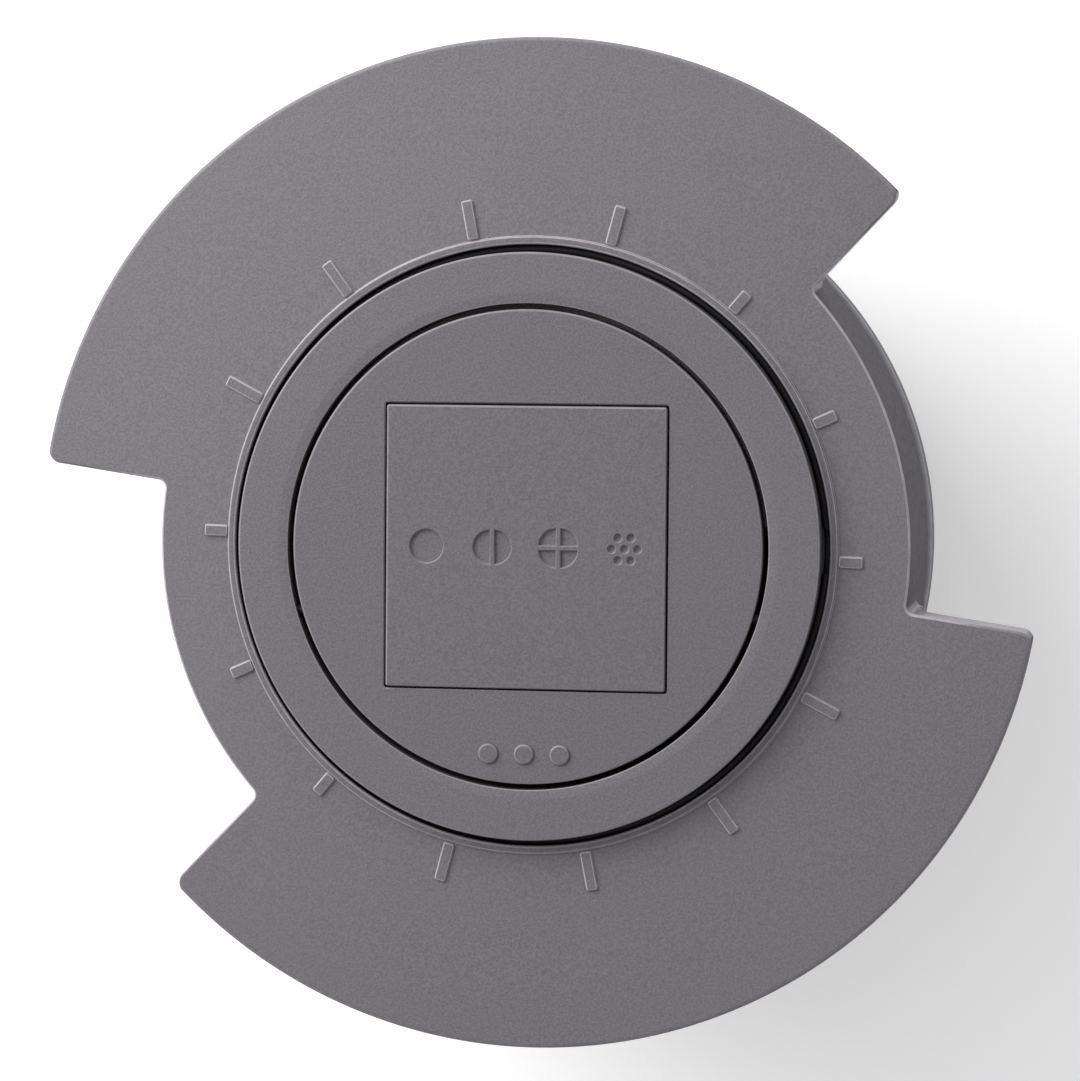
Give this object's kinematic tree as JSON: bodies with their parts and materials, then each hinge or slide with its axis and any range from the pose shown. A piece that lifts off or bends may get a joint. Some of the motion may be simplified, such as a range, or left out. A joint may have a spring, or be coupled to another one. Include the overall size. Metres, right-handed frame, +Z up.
{
  "type": "pill crusher",
  "caption": "Twist pill crusher: a winged dial cap on a screw thread presses a hollow piston into a ridged steel cup, with a tilting store lid on top.",
  "frame": {"origin": "on the surface the crusher stands on, under the middle of the dial", "axes": "+Z up along the screw axis; the lid's raised dots are towards -Y, and the lid tilts about a line parallel to X"},
  "size_m": [0.0888, 0.09, 0.0468],
  "materials": {
    "cap_plastic": "matte, finely grained grey moulding",
    "hub_plastic": "matte, finely grained grey moulding",
    "badge_plastic": "matte, finely grained grey moulding, a little darker than the ring",
    "base_plastic": "matte, finely grained grey moulding",
    "stainless": "brushed stainless steel",
    "steel_plate": "plain zinc-plated steel",
    "steel_wire": "black-oxide spring steel",
    "screw_steel": "zinc-plated steel",
    "foot_rubber": "matte elastomer",
    "silicone": "grey silicone",
    "acetal": "black acetal"
  },
  "bodies": {
    "base": {"base_shell": "base_plastic", "bottom_cover": "base_plastic", "foot_ring": "foot_rubber", "weight_plate": "steel_plate", "cup_cushion": "silicone", "crush_cup": "stainless", "bottom_screw_1": "screw_steel", "bottom_screw_2": "screw_steel", "bottom_screw_3": "screw_steel"},
    "press": {"piston": "hub_plastic", "crush_plate": "stainless", "plate_screw_1": "screw_steel", "plate_screw_2": "screw_steel", "plate_screw_3": "screw_steel", "piston_seal": "silicone", "hub_ring": "hub_plastic", "lid_pin_left": "steel_wire", "lid_pin_right": "steel_wire", "thrust_washer": "acetal", "retaining_ring": "steel_wire"},
    "cap": {"winged_cap": "cap_plastic"},
    "lid": {"store_lid": "badge_plastic", "badge_tile": "badge_plastic"}
  },
  "joints": [
    {"name": "press_travel", "type": "slide", "parent": "base", "child": "press", "axis": [0, 0, 1], "range_m": [0, 0.009]},
    {"name": "cap_turn", "type": "hinge", "parent": "press", "child": "cap", "pos_m": [0, 0, 0.0432], "axis": [0, 0, 1], "range_deg": [0, 360]},
    {"name": "lid_tilt", "type": "hinge", "parent": "press", "child": "lid", "pos_m": [0, -0.006, 0.04525], "axis": [1, 0, 0], "range_deg": [0, 55]}
  ],
  "couplings": [
    {"joint": "cap_turn", "follows": "press_travel", "rad_per_m": 698.13}
  ]
}
